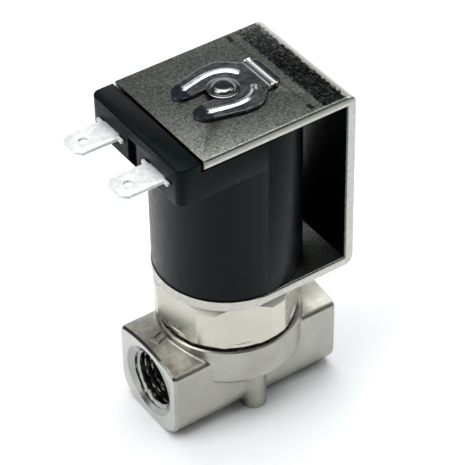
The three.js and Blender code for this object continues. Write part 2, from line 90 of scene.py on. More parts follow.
def rod_along_x(r, x0, x1, z, sides=64):
    piece = lathe("rod", [(0, x0), (r, x0), (r, x1), (0, x1)], sides)
    piece.data.transform(Matrix.Translation((0, 0, z * MM)) @ Matrix.Rotation(math.pi / 2, 4, "Y"))
    return piece


def loft(name, sections):
    """A closed body through loops of equally many points, each anticlockwise seen from the last."""
    count = len(sections[0])
    points = [point for section in sections for point in section]
    last = len(points) - count
    faces = [tuple(reversed(range(count))), tuple(range(last, last + count))]
    for low in range(0, last, count):
        for k in range(count):
            after = (k + 1) % count
            faces.append((low + k, low + after, low + count + after, low + count + k))
    return new_piece(name, points, faces)


def prism(name, outline, low, high, axis="Z"):
    """An anticlockwise outline pushed along an axis: (x, y), (y, z), or for Y (x, z)."""
    if axis == "Z":
        return loft(name, [[(a, b, depth) for a, b in outline] for depth in (low, high)])
    if axis == "X":
        return loft(name, [[(depth, a, b) for a, b in outline] for depth in (low, high)])
    return loft(name, [[(a, depth, b) for a, b in reversed(outline)] for depth in (low, high)])


def block(x0, x1, y0, y1, z0, z1):
    return prism("block", [(x0, y0), (x1, y0), (x1, y1), (x0, y1)], z0, z1)


def arc(cx, cy, r, start, end, steps=10):
    """Points on an arc, from and to angles in degrees."""
    turns = [math.radians(start + (end - start) * k / steps) for k in range(steps + 1)]
    return [(cx + r * math.cos(turn), cy + r * math.sin(turn)) for turn in turns]


def settle(piece):
    """Makes the piece's modifiers part of its mesh."""
    graph = bpy.context.evaluated_depsgraph_get()
    made = bpy.data.meshes.new_from_object(piece.evaluated_get(graph))
    piece.modifiers.clear()
    piece.data = made
    return piece


def combine(piece, how, *tools):
    for tool in tools:
        modifier = piece.modifiers.new("combine", "BOOLEAN")
        modifier.object = tool
        modifier.operation = how
        modifier.solver = "MANIFOLD"
        settle(piece)
        bpy.data.objects.remove(tool)
    return piece


def cut(piece, *tools):
    return combine(piece, "DIFFERENCE", *tools)


def fuse(piece, *tools):
    return combine(piece, "UNION", *tools)


def cast(piece, voxel, rounds):
    """Melts a piece's overlapping shapes into one skin and rounds its edges and corners."""
    remesh = piece.modifiers.new("skin", "REMESH")
    remesh.mode = "VOXEL"
    remesh.voxel_size = voxel * MM
    smooth = piece.modifiers.new("round", "SMOOTH")
    smooth.factor = 0.5
    smooth.iterations = rounds
    return settle(piece)


def join_meshes(piece, *others):
    """Adds other pieces' faces to the piece's mesh as they are."""
    mesh = bmesh.new()
    mesh.from_mesh(piece.data)
    for other in others:
        mesh.from_mesh(other.data)
        bpy.data.objects.remove(other)
    mesh.to_mesh(piece.data)
    mesh.free()
    return piece


def bevel(piece, width, segments, angle):
    modifier = piece.modifiers.new("bevel", "BEVEL")
    modifier.width = width * MM
    modifier.segments = segments
    modifier.limit_method = "ANGLE"
    modifier.angle_limit = math.radians(angle)
    return settle(piece)


def soften(piece, width, segments=2, angle=30):
    """Breaks the edges that are sharper than an angle."""
    same_point, same_plane = 0.002 * MM, math.radians(0.2)
    mesh = bmesh.new()
    mesh.from_mesh(piece.data)
    bmesh.ops.remove_doubles(mesh, verts=mesh.verts, dist=same_point)
    bmesh.ops.dissolve_limit(mesh, angle_limit=same_plane, verts=mesh.verts, edges=mesh.edges)
    mesh.to_mesh(piece.data)
    mesh.free()
    return bevel(piece, width, segments, angle)


def finish_piece(piece, body, slot, node, *materials, sharp=35):
    """Shades the piece, gives it its materials and its body, and hides the CAD node's imported part. The
    slot is not used.
    """
    piece.data.shade_smooth()
    piece.data.set_sharp_from_angle(angle=math.radians(sharp))
    piece.data.materials.clear()
    for material in materials:
        piece.data.materials.append(material)
    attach(piece, body)
    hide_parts(node)
    return piece


# ------------------------------------------------------------------ materials
NOISE_LOW, NOISE_HIGH = 0.3, 0.7


class Finish:
    """A metal or plastic built from noises in the object's own space.

    Its colour and roughness are even until nodes take their place.
    """

    def __init__(self, name, color, roughness, metallic, specular=0.5, tint=(1, 1, 1)):
        self.material = bpy.data.materials.new(name)
        self.material.use_nodes = True
        self.nodes = self.material.node_tree.nodes
        self.links = self.material.node_tree.links
        self.shader = self.nodes["Principled BSDF"]
        self.shader.inputs["Base Color"].default_value = (*color, 1)
        self.shader.inputs["Roughness"].default_value = roughness
        self.shader.inputs["Metallic"].default_value = metallic
        self.shader.inputs["Specular IOR Level"].default_value = specular
        self.shader.inputs["Specular Tint"].default_value = (*tint, 1)
        self.place = self.nodes.new("ShaderNodeTexCoord").outputs["Object"]

    def stretched(self, x, y, z):
        mapping = self.nodes.new("ShaderNodeMapping")
        mapping.inputs["Scale"].default_value = (x, y, z)
        self.links.new(self.place, mapping.inputs["Vector"])
        return mapping.outputs["Vector"]

    def noise(self, size, detail=3, place=None):
        """Noise whose blotches are about size millimetres across."""
        texture = self.nodes.new("ShaderNodeTexNoise")
        texture.inputs["Scale"].default_value = 1 / (size * MM)
        texture.inputs["Detail"].default_value = detail
        self.links.new(place or self.place, texture.inputs["Vector"])
        return texture.outputs["Fac"]

    def spread(self, factor, low, high, to_low, to_high):
        """Maps low..high of a factor to a new range."""
        node = self.nodes.new("ShaderNodeMapRange")
        self.links.new(factor, node.inputs["Value"])
        limits = {"From Min": low, "From Max": high, "To Min": to_low, "To Max": to_high}
        for name, value in limits.items():
            node.inputs[name].default_value = value
        return node.outputs["Result"]

    def vary(self, size, detail, low, high):
        """Noise spread from its usual range to low..high."""
        return self.spread(self.noise(size, detail), NOISE_LOW, NOISE_HIGH, low, high)

    def blend(self, factor, first, second, how="MIX"):
        """Mixes two colours, each a colour or a socket, by a factor socket."""
        node = self.nodes.new("ShaderNodeMix")
        node.data_type = "RGBA"
        node.blend_type = how
        self.links.new(factor, node.inputs["Factor"])
        for socket, color in ((node.inputs[6], first), (node.inputs[7], second)):
            if isinstance(color, tuple):
                socket.default_value = (*color, 1)
            else:
                self.links.new(color, socket)
        return node.outputs[2]

    def math(self, operation, first, second=0.0):
        """One step of arithmetic on sockets or numbers."""
        node = self.nodes.new("ShaderNodeMath")
        node.operation = operation
        for socket, value in zip(node.inputs, (first, second)):
            if isinstance(value, float):
                socket.default_value = value
            else:
                self.links.new(value, socket)
        return node.outputs[0]

    def times(self, first, *others):
        """The product of sockets and numbers."""
        for other in others:
            first = self.math("MULTIPLY", first, other)
        return first

    def axes(self):
        """The place's x, y and z, in metres."""
        node = self.nodes.new("ShaderNodeSeparateXYZ")
        self.links.new(self.place, node.inputs[0])
        return tuple(node.outputs)

    def facing_up(self, start, end):
        """1 where the surface faces up, from its own normal."""
        node = self.nodes.new("ShaderNodeSeparateXYZ")
        normal = self.nodes.new("ShaderNodeTexCoord").outputs["Normal"]
        self.links.new(normal, node.inputs[0])
        return self.ramp(node.outputs[2], start, end)

    def ramp(self, value, start, end):
        """0 before start and 1 after end; start may be the larger."""
        if start > end:
            return self.math("SUBTRACT", 1.0, self.spread(value, end, start, 0, 1))
        return self.spread(value, start, end, 0, 1)

    def stripe(self, value, start, low, high, end):
        """1 from low to high and 0 outside start and end, all in millimetres."""
        rise = self.ramp(value, start * MM, low * MM)
        return self.times(rise, self.ramp(value, end * MM, high * MM))

    def color(self, socket):
        self.links.new(socket, self.shader.inputs["Base Color"])

    def roughness(self, socket):
        self.links.new(socket, self.shader.inputs["Roughness"])

    def bump(self, height, depth, under=None):
        """Raises the surface by depth millimetres where height is 1."""
        node = self.nodes.new("ShaderNodeBump")
        node.inputs["Distance"].default_value = depth * MM
        self.links.new(height, node.inputs["Height"])
        if under:
            self.links.new(under, node.inputs["Normal"])
        self.links.new(node.outputs["Normal"], self.shader.inputs["Normal"])
        return node.outputs["Normal"]


def cast_nickel():
    """Satin nickel plating over a blasted casting; the inlet's upward faces carry painted shade, in
    patches like the casting's grain.
    """
    finish = Finish("nickel_cast", (0.43, 0.42, 0.365), 0.34, 1.0)
    cloud = finish.vary(7, 4, 0, 1)
    plate = finish.blend(cloud, (0.365, 0.358, 0.312), (0.455, 0.448, 0.40))
    pits = finish.spread(finish.noise(0.5, 3), 0.54, 0.72, 0, 0.4)
    plate = finish.blend(pits, plate, (0.26, 0.25, 0.21))
    # Painted shade: the inlet's upward faces are darkened, in patches.
    at_inlet = finish.ramp(finish.axes()[0], -7 * MM, -9 * MM)
    painted_top_shade = finish.times(finish.facing_up(0.8, 0.97), at_inlet)
    patches = finish.spread(finish.noise(1.6, 4), 0.35, 0.65, 0, 1)
    shade_patches = finish.blend(patches, (0.56, 0.56, 0.58), (0.82, 0.82, 0.83))
    finish.color(finish.blend(painted_top_shade, plate, shade_patches, "MULTIPLY"))
    finish.roughness(finish.vary(3, 5, 0.28, 0.42))
    wave = finish.bump(finish.noise(3.5, 2), 0.04)
    finish.bump(finish.noise(0.4, 3), 0.014, under=wave)
    return finish.material


def machined_nickel():
    """Turned faces under the same plating, with fine tool marks."""
    color, roughness = (0.57, 0.565, 0.54), 0.24
    finish = Finish("nickel_machined", color, roughness, 1.0)
    darker = tuple(0.9 * channel for channel in color)
    finish.color(finish.blend(finish.noise(5, 3), darker, color))
    marks = finish.noise(0.25, 2)
    finish.roughness(finish.spread(marks, NOISE_LOW, NOISE_HIGH, roughness - 0.04, roughness + 0.05))
    finish.bump(marks, 0.002)
    return finish.material


def thread_nickel():
    """The ports' threads and chamfers: smoother than the faces, and darker as painted shade."""
    finish = Finish("nickel_thread", (0.36, 0.36, 0.34), 0.14, 1.0)
    finish.color(finish.blend(finish.noise(2.5, 3), (0.29, 0.29, 0.27), (0.43, 0.43, 0.41)))
    finish.roughness(finish.vary(1.1, 3, 0.11, 0.19))
    finish.bump(finish.noise(0.3, 1, finish.stretched(1, 0.2, 0.2)), 0.001)
    return finish.material


def bar_nickel():
    """Plated hexagon bar: smooth, faintly wavy flats and paler, rougher turned cones."""
    finish = Finish("nickel_bar", (0.57, 0.555, 0.48), 0.26, 1.0)
    cloud = finish.vary(9, 3, 0, 1)
    flats = finish.blend(cloud, (0.535, 0.52, 0.448), (0.60, 0.585, 0.515))
    turned = finish.facing_up(0.15, 0.3)
    finish.color(finish.blend(turned, flats, (0.78, 0.765, 0.69)))
    rough = finish.vary(4, 3, 0.25, 0.31)
    finish.roughness(finish.math("ADD", rough, finish.times(turned, 0.34)))
    wave = finish.bump(finish.noise(9, 1), 0.015)
    finish.bump(finish.noise(0.3, 2, finish.stretched(1, 1, 0.15)), 0.0008, under=wave)
    return finish.material


def yoke_zinc():
    """Mottled zinc plate. Beside the bend the die has burnished a smoother stripe, which is darkened as
    painted reflection of the dark room; the outside of the bends carries a painted highlight.
    """
    finish = Finish("zinc_plate", (0.1, 0.105, 0.095), 0.32, 1.0)
    x, y, z = finish.axes()
    drift = finish.vary(0.9, 4, -0.4 * MM, 0.4 * MM)
    along_x = finish.math("ADD", x, drift)
    on_top = finish.ramp(z, 72.2 * MM, 72.8 * MM)
    base = zinc_mottle(finish)
    base = finish.blend(scratched_line(finish, along_x, y, drift, on_top), base, (0.012, 0.012, 0.011))
    # Painted highlight: the outside of the bends is painted pale.
    base = finish.blend(painted_bend_highlight(finish, along_x, z), base, (0.58, 0.58, 0.54))
    # Painted reflection: the burnished stripe beside the bend is painted dark, standing for the dark room
    # it mirrors; its lower roughness is real.
    dark_reflection_band = finish.stripe(along_x, 12.5, 12.8, 17.3, 17.8)
    short_of_side = finish.ramp(finish.math("ADD", y, drift), -14.6 * MM, -14.1 * MM)
    dark_reflection_band = finish.times(dark_reflection_band, short_of_side, on_top)
    streak = finish.spread(finish.noise(0.4, 4, finish.stretched(1, 0.6, 1)), 0.45, 0.72, 0, 1)
    dark = finish.blend(streak, (0.02, 0.021, 0.02), (0.28, 0.285, 0.27))
    finish.color(finish.blend(dark_reflection_band, base, dark))
    rough = finish.vary(0.5, 4, 0.27, 0.38)
    finish.roughness(finish.math("SUBTRACT", rough, finish.times(dark_reflection_band, 0.14)))
    finish.bump(finish.noise(0.3, 3), 0.007)
    return finish.material


def zinc_mottle(finish):
    """Fine speckle under wider blotches."""
    speckle = finish.spread(finish.noise(0.3, 5), 0.40, 0.60, 0, 1)
    blotch = finish.spread(finish.noise(2.2, 4), 0.32, 0.68, 0, 1)
    base = finish.blend(speckle, (0.05, 0.054, 0.047), (0.20, 0.212, 0.19))
    return finish.blend(finish.times(blotch, 0.3), base, (0.19, 0.197, 0.178))


def scratched_line(finish, along_x, y, drift, on_top):
    """How much a faint line across the top shows: most near the plate's two sides."""
    line = finish.stripe(along_x, 9.9, 10.2, 10.8, 11.1)
    side = finish.math("ADD", finish.math("ABSOLUTE", y), drift)
    line = finish.times(line, finish.ramp(side, 13.9 * MM, 13.5 * MM))
    smudge = finish.times(line, finish.ramp(side, 11.8 * MM, 12.4 * MM))
    worn = finish.math("ADD", finish.times(line, 0.3), smudge)
    return finish.times(worn, on_top, 0.9)


def painted_bend_highlight(finish, along_x, z):
    """1 on the outside of the plate's two bends, where a painted highlight goes."""
    middle, bend_start, fade = 52.35 * MM, 18.5 * MM, 0.6 * MM
    from_middle = finish.math("ABSOLUTE", finish.math("SUBTRACT", z, middle))
    bend = finish.ramp(from_middle, bend_start, bend_start + fade)
    return finish.times(bend, finish.ramp(along_x, 17.2 * MM, 17.7 * MM))


def inner_zinc():
    """The yoke's inner faces: smooth and dark. Also painted shade on the front end face in the gap under
    the coil's head.
    """
    finish = Finish("zinc_inner", (0.12, 0.122, 0.12), 0.2, 1.0)
    finish.color(finish.blend(finish.noise(3, 4), (0.09, 0.092, 0.09), (0.15, 0.152, 0.15)))
    finish.roughness(finish.vary(1, 3, 0.16, 0.26))
    finish.bump(finish.noise(0.4, 2), 0.002)
    return finish.material


def edge_zinc():
    """The yoke's sheared edges, brighter than its faces except close under its top."""
    finish = Finish("zinc_edge", (0.66, 0.655, 0.60), 0.36, 1.0)
    torn = finish.vary(0.7, 5, 0, 1)
    torn = finish.blend(torn, (0.48, 0.47, 0.42), (0.58, 0.575, 0.535))
    under_skin = finish.ramp(finish.axes()[2], 71.6 * MM, 72.1 * MM)
    finish.color(finish.blend(under_skin, torn, (0.3, 0.3, 0.27)))
    finish.roughness(finish.vary(0.6, 4, 0.32, 0.5))
    finish.bump(finish.noise(0.35, 3, finish.stretched(1, 1, 0.4)), 0.01)
    return finish.material


def coil_plastic():
    """Black moulding with a faint bluish sheen."""
    finish = Finish("coil_plastic", (0.0016, 0.0032, 0.0037), 0.3, 0.0, 0.08, (0.82, 1.0, 1.03))
    cloud = finish.noise(6, 3)
    finish.color(finish.blend(cloud, (0.0011, 0.0027, 0.0031), (0.0021, 0.0037, 0.0042)))
    finish.roughness(finish.vary(1.5, 4, 0.27, 0.36))
    wave = finish.bump(finish.noise(6, 2), 0.015)
    finish.bump(finish.noise(0.18, 2), 0.0014, under=wave)
    return finish.material


def bright_tin():
    """Tinned brass, drawn lengthwise and a little stained."""
    finish = Finish("bright_tin", (0.76, 0.775, 0.78), 0.45, 0.3)
    streak = finish.noise(0.4, 3, finish.stretched(0.12, 1, 1))
    stain = finish.spread(finish.noise(0.9, 5), 0.35, 0.65, 0, 1)
    finish.color(finish.blend(stain, (0.58, 0.60, 0.60), (0.74, 0.755, 0.755)))
    finish.roughness(finish.spread(streak, NOISE_LOW, NOISE_HIGH, 0.38, 0.52))
    finish.bump(streak, 0.003)
    return finish.material


def spring_steel():
    """Polished steel. On the clip, painted reflection: the prong ends and the tongue are painted dark and
    the bead bright.
    """
    finish = Finish("spring_steel", (0.45, 0.48, 0.48), 0.16, 1.0)
    cloud = finish.spread(finish.noise(2.5, 3), 0.35, 0.65, 0, 1)
    base = finish.blend(cloud, (0.28, 0.31, 0.32), (0.56, 0.59, 0.60))
    x = finish.axes()[0]
    # Painted reflection: the bent-down prong ends are painted dark.
    painted_dark_tips = finish.ramp(x, -5.8 * MM, -6.2 * MM)
    base = finish.blend(painted_dark_tips, base, (0.13, 0.15, 0.18))
    # Painted highlight on the bead.
    bead = finish.stripe(x, 7.1, 7.5, 9.2, 9.6)
    base = finish.blend(bead, base, (0.86, 0.88, 0.87))
    # Painted reflection: the tongue is painted dark.
    tongue = finish.ramp(x, 9.4 * MM, 9.7 * MM)
    finish.color(finish.blend(tongue, base, (0.2, 0.225, 0.245)))
    finish.roughness(finish.vary(0.8, 4, 0.12, 0.20))
    finish.bump(finish.noise(0.5, 2, finish.stretched(0.3, 1, 1)), 0.002)
    return finish.material


def stainless():
    """Turned stainless steel."""
    finish = Finish("stainless", (0.45, 0.455, 0.46), 0.22, 1.0)
    turned = finish.noise(0.35, 2, finish.stretched(0.1, 0.1, 1))
    finish.color(finish.blend(finish.noise(2, 3), (0.36, 0.365, 0.37), (0.52, 0.525, 0.53)))
    finish.roughness(finish.spread(turned, NOISE_LOW, NOISE_HIGH, 0.12, 0.26))
    finish.bump(turned, 0.003)
    return finish.material


def stud_steel():
    """The core's upset head: turned, and darker than the tube as painted shade."""
    finish = Finish("stud_steel", (0.22, 0.225, 0.225), 0.16, 1.0)
    turned = finish.noise(0.3, 2, finish.stretched(0.2, 0.2, 1))
    finish.color(finish.blend(finish.noise(1.2, 3), (0.13, 0.135, 0.135), (0.30, 0.305, 0.305)))
    finish.roughness(finish.spread(turned, NOISE_LOW, NOISE_HIGH, 0.12, 0.22))
    finish.bump(turned, 0.002)
    return finish.material


def copper():
    """Enamelled wire, wound in fine close turns."""
    finish = Finish("copper", (0.62, 0.27, 0.13), 0.35, 0.9)
    turns = finish.noise(0.3, 1, finish.stretched(0.05, 0.05, 1))
    finish.color(finish.blend(turns, (0.45, 0.17, 0.07), (0.72, 0.34, 0.17)))
    finish.roughness(finish.spread(turns, NOISE_LOW, NOISE_HIGH, 0.25, 0.45))
    finish.bump(turns, 0.03)
    return finish.material


def soft_plastic(name, color, roughness, grain):
    """Rubber, nylon or tape: matt, with a fine moulded or woven grain."""
    finish = Finish(name, color, roughness, 0.0)
    darker = tuple(0.8 * channel for channel in color)
    finish.color(finish.blend(finish.noise(2, 3), darker, color))
    finish.roughness(finish.vary(grain, 3, roughness - 0.08, roughness + 0.08))
    finish.bump(finish.noise(grain, 2), 0.01)
    return finish.material


# ------------------------------------------------------------------ valve body
BODY_END = 19.5
BARREL_TOP = 20.3
BARREL_R = 14.6
SPIGOT_R = 11.5
PORT_Z = 9.65
BOSS_R, BOSS_Y = 2.55, 8.6
SIDES = (-1, 1)


def port_outline(grow=0.0):
    """The port block's end outline in YZ, grown outward: a domed top over rounded feet."""
    half, top_z, crown_r, top_r, foot_r = 10, 18.9, 32, 1.5, 5.8
    lean = math.degrees(math.asin((half - top_r) / (crown_r - top_r)))
    top_y, foot_y = half - top_r, half - foot_r
    corner_z = top_z - crown_r + (crown_r - top_r) * math.cos(math.radians(lean))
    points = arc(foot_y, foot_r, foot_r + grow, -90, 0, 14)
    points += arc(top_y, corner_z, top_r + grow, 0, 90 - lean, 8)
    points += arc(0, top_z - crown_r, crown_r + grow, 90 - lean, 90 + lean, 12)[1:-1]
    points += arc(-top_y, corner_z, top_r + grow, 90 + lean, 180, 8)
    points += arc(-foot_y, foot_r, foot_r + grow, 180, 270, 14)
    return points


def body_blank():
    """The casting before machining: port block, barrel and two bosses in one skin."""
    spare, voxel, rounds, inside = 1, 0.25, 2, 12
    neck_r, neck_low, neck_high, rough_top = 10, 8, 12.5, 21.6
    blank = prism("body_casting", port_outline(), -BODY_END - spare, BODY_END + spare, "X")
    barrel = lathe("barrel", [
        (0, neck_low), (neck_r, neck_low), (BARREL_R, neck_high), (BARREL_R, rough_top),
        (0, rough_top)], 160)
    bosses = [rod(BOSS_R, 0, inside, 0, side * BOSS_Y) for side in SIDES]
    join_meshes(blank, barrel, *bosses)
    return cast(blank, voxel, rounds)


def end_trimmer(sense):
    """Faces the block's end off and breaks its outer edge at 45 degrees."""
    chamfer, lap, beyond, half, high = 0.5, 0.15, 3, 13, 22
    reach = BODY_END - chamfer - lap
    slab = block(reach, BODY_END + beyond, -half, half, -beyond, high)
    levels = [(reach - chamfer, lap + chamfer), (reach, lap), (BODY_END, -chamfer)]
    sections = [[(x, y, z) for y, z in port_outline(grow)] for x, grow in levels]
    tool = cut(slab, loft("kept", sections))
    if sense < 0:
        tool.data.transform(Matrix.Rotation(math.pi, 4, "Z"))
    return tool


def port_void(sense):
    """The threaded port: a right-hand helical groove with a chamfered mouth."""
    depth, pitch, minor, major, mouth, past = 10.5, 1.337, 5.72, 6.58, 7.75, 0.4
    steps, sides, plain, sink_slope, steep, land = 120, 96, 1.2, 1.7, 1.5, 0.25
    sections = []
    for i in range(steps + 1):
        run = (depth + past) * i / steps
        loop = []
        for k in range(sides):
            phase = (run / pitch - k / sides) % 1
            ridge = min(1, max(0, (1 - abs(2 * phase - 1)) * steep - land))
            ridge *= min(1, max(0, (run - plain) / pitch))
            r = max(minor + (major - minor) * ridge, mouth - sink_slope * (depth - run))
            angle = 2 * math.pi * k / sides
            loop.append((BODY_END - depth + run, r * math.cos(angle), PORT_Z + r * math.sin(angle)))
        sections.append(loop)
    void = loft("port", sections)
    if sense < 0:
        void.data.transform(Matrix.Rotation(math.pi, 4, "Z"))
    return void


def size_pad(length, width, low, high):
    """A slightly turned rectangle on the inlet's top, where the casting has a raised frame."""
    x, y, turn = -15.9, 1, math.radians(21)
    pad = prism("pad", [(-length / 2, -width / 2), (length / 2, -width / 2), (length / 2, width / 2),
                        (-length / 2, width / 2)], low, high)
    pad.data.transform(Matrix.Translation((x * MM, y * MM, 0)) @ Matrix.Rotation(turn, 4, "Z"))
    return pad


def face_off_top(blank):
    """Turns the casting's top flat, with a chamfered rim round the barrel."""
    rim, inner_r, clear_z = 0.28, SPIGOT_R - 0.3, 24
    rim_z = BARREL_TOP - 1 - rim
    rim_tool = lathe("rim", [
        (inner_r, BARREL_TOP), (BARREL_R - rim, BARREL_TOP), (BARREL_R + 1, rim_z),
        (BARREL_R + 2, rim_z), (BARREL_R + 2, clear_z), (inner_r, clear_z)], 160)
    top_tool = rod(SPIGOT_R, 21, 25, sides=96)
    cut(blank, end_trimmer(1), end_trimmer(-1), rim_tool, top_tool)


def add_spigot(blank):
    """The stub that the bonnet screws onto, relieved at its foot, with the plunger's chamber."""
    relief_r, foot, low, high, top = SPIGOT_R - 0.6, 18, 21.2, 26.3, 26.9
    spigot = lathe("spigot", [
        (0, foot), (relief_r, foot), (relief_r, low), (SPIGOT_R, low + 0.4), (SPIGOT_R, high),
        (relief_r, top), (0, top)], 128)
    fuse(blank, spigot)
    chamber_r, floor_z, groove_r, groove_z, past = 7, 13, 9, 24.4, 28
    chamber = lathe("chamber", [
        (0, floor_z), (chamber_r, floor_z), (chamber_r, groove_z), (groove_r, groove_z),
        (groove_r, past), (0, past)], 96)
    cut(blank, chamber)


def valve_body():
    """The casting with everything that is turned or drilled in it."""
    blank = body_blank()
    face_off_top(blank)
    fuse(blank, size_pad(3.4, 2.3, 17.5, 19.25))
    cut(blank, size_pad(2.2, 1.1, 18.85, 20))
    add_spigot(blank)
    fuse(blank, rod(3.6, 12, 13.8))
    seat_hole = rod(2.7, 10.5, 15)
    way_r, drop_r, way_z = 2, 1.5, 8.4
    passages = [
        rod_along_x(way_r, -10.5, -5.5, way_z),
        rod_along_x(way_r, -1.5, 9.5, way_z),
        rod(drop_r, way_z, 14, -5.5),
        rod(drop_r, way_z, 10.6),
    ]
    screw_r, screw_depth = 1.25, 5.5
    boss_holes = [rod(screw_r, -1, screw_depth, 0, side * BOSS_Y, 32) for side in SIDES]
    return cut(blank, seat_hole, port_void(1), port_void(-1), *passages, *boss_holes)


def mark_machined(piece):
    """Puts the second material on the turned faces and the third, darker as painted shade, in the ports
    and on the ends' chamfers.
    """
    port_floor, port_r, chamber_r, near = 8.9, 7.8, 7.1, 0.01
    for face in piece.data.polygons:
        centre = face.center / MM
        from_port = math.hypot(centre.y, centre.z - PORT_Z)
        at_end = abs(centre.x) > BODY_END - near
        in_port = abs(centre.x) > port_floor and from_port < port_r
        on_top = centre.z > BARREL_TOP - 2 * near
        inside = math.hypot(centre.x, centre.y) < chamber_r and centre.z > 10
        # Painted shade: the ends' chamfers take the darker port finish.
        on_chamfer = abs(centre.x) > BODY_END - 0.6 and 0.3 < abs(face.normal.x) < 0.95
        face.material_index = 1 if at_end or on_top or inside else 2 if in_port or on_chamfer else 0


# ------------------------------------------------------------------ bonnet, core
def between(stops, z):
    """The value at z on a line through (z, value) stops."""
    for (z0, first), (z1, second) in zip(stops, stops[1:]):
        if z <= z1:
            return first + (second - first) * max(0, z - z0) / (z1 - z0)
    return stops[-1][1]


def bonnet_nut():
    """Hexagon bar with a turned foot and a coned top, as one grid of angles and heights."""
    flat_r, turn, cone_low, cone_high, foot = 13.5, 8.6, 29.6, 31.5, 20.85
    sides, foot_step, foot_steps, cone_steps = 360, 0.05, 28, 60
    thread_r, thread_top, tube_hole = 11.7, 27.1, 5.7
    turned = [(foot, 13.95), (foot + 0.15, 14.1), (foot + 1, 14.7), (cone_low, 14.7), (cone_high, 13.1)]
    collar = [(foot, 13.75), (foot + 0.6, 13.7), (foot + 1.2, 13.3)]
    heights = [foot + foot_step * k for k in range(foot_steps)] + [23, 26, 29]
    heights += [cone_low + (cone_high - cone_low) * k / cone_steps for k in range(cone_steps + 1)]
    sections = []
    for z in heights:
        loop = []
        for k in range(sides):
            off_flat = math.radians((k + 30) % 60 - 30)
            r = min(between(turned, z), max(flat_r / math.cos(off_flat), between(collar, z)))
            angle = math.radians(k + turn)
            loop.append((r * math.cos(angle), r * math.sin(angle), z))
        sections.append(loop)
    thread = rod(thread_r, foot - 0.85, thread_top, sides=128)
    hole = rod(tube_hole, thread_top - 1.1, cone_high + 1.5, sides=96)
    return cut(loft("hex_bonnet", sections), thread, hole)


def fixed_core():
    """The stationary core, with its stem and the clip's groove under a coned head."""
    core = lathe("core_stud", [
        (0, 46.25), (4.7, 46.25), (4.9, 46.45), (4.9, 69.8), (4.6, 70.1), (2.4, 70.1), (2.4, 73),
        (1.6, 73), (1.6, 73.97), (3.1, 73.97), (3.2, 73.99), (3.2, 74.04), (3.1, 74.08), (2.4, 74.08),
        (2.25, 74.4), (1.98, 74.64), (1.6, 74.74), (1.2, 74.765), (0, 74.77)], 96)
    groove = lathe("groove", [(3.0, 45), (3.9, 45), (3.9, 47.85), (3.0, 47.85)], 96)
    return cut(core, groove)


# ------------------------------------------------------------------ yoke
YOKE = {"front": -14.47, "back": 19.84, "half": 15, "thick": 2.16, "low": 31.7, "high": 73, "bend": 2}


def yoke_outline(inset):
    """The strip's outline in XZ, with every surface moved inward by the inset."""
    front, back, half, thick, low, high, bend = YOKE.values()
    low, high, back, front = low + inset, high - inset, back - inset, front + inset
    thick, bend = thick - 2 * inset, bend - inset
    outline = [(-half, low)]
    outline += arc(back - bend, low + bend, bend, -90, 0, 14)
    outline += arc(back - bend, high - bend, bend, 0, 90, 14)
    outline += [(front, high), (front, high - thick)]
    outline += [(back - thick, high - thick), (back - thick, low + thick), (-half, low + thick)]
    return outline


def yoke():
    """The bent strip, with rounded long edges, a round end below and a hole in each plate."""
    half, thick, low, high = (YOKE[key] for key in ("half", "thick", "low", "high"))
    edge, steps = 0.6, 5
    levels = []
    for k in range(steps + 1):
        turn = math.pi / 2 * k / steps
        levels.append((half - edge * (1 - math.cos(turn)), edge * (1 - math.sin(turn))))
    levels = [(-y, inset) for y, inset in levels] + levels[::-1]
    sections = [[(x, y, z) for x, z in reversed(yoke_outline(inset))] for y, inset in levels]
    plate = loft("yoke_plate", sections)
    past, round_end, stud_hole, tube_hole = 2, half - 0.03, 2.75, 6.75
    corner = block(-half - past, 0, -half - past, half + past, low - past, low + thick + past)
    cut(corner, rod(round_end, low - past - 1, low + thick + past + 1, sides=160))
    cut(plate, corner, rod(stud_hole, high - 5, high + past))
    cut(plate, rod(tube_hole, low - past, low + 5, sides=96))
    return soften(plate, 0.12, 3, 50)


def mark_edges(piece):
    """Puts the second material on the plate's sheared edges and the third on its inner faces. The front
    end face in the gap under the coil's head gets the third too, as painted shade.
    """
    half, thick, low = YOKE["half"], YOKE["thick"], YOKE["low"]
    for face in piece.data.polygons:
        centre, normal = face.center / MM, face.normal
        at_side = abs(normal.y) > 0.8 or (abs(normal.y) > 0.2 and centre.x > 19)
        at_side = at_side and abs(centre.y) > half - 0.7
        at_front = centre.x < YOKE["front"] + 0.3 and centre.z > 60
        # Painted shade: the front end face in the dark gap takes the dark inner finish, not the bright
        # edge finish.
        gap_face_shade = at_front and normal.x < -0.95
        at_top_end = at_front and normal.z > 0.3 and normal.x < -0.3
        at_rim = math.hypot(centre.x, centre.y) > half - 0.4
        at_round_end = at_rim and centre.x < 0 and centre.z < low + thick
        at_end = at_top_end or (at_round_end and abs(normal.z) < 0.95)
        on_back_wall = centre.x > 17 and normal.x < -0.9
        under_top = centre.z > 60 and normal.z < -0.9
        over_low = centre.z < 40 and normal.z > 0.9 and centre.x > 0
        inner = on_back_wall or under_top or over_low or gap_face_shade
        face.material_index = 1 if at_side or at_end else 2 if inner else 0


# ------------------------------------------------------------------ coil
COIL_LOW = 34.06
COIL_HIGH = 70.64
HEAD = {"front": -19.8, "half": 14.85, "high": 72.7, "low": 64.4, "corner": 1.7, "back": -14.95}
BLADE_TOP = 68.8
BLADE_Y = 7.65


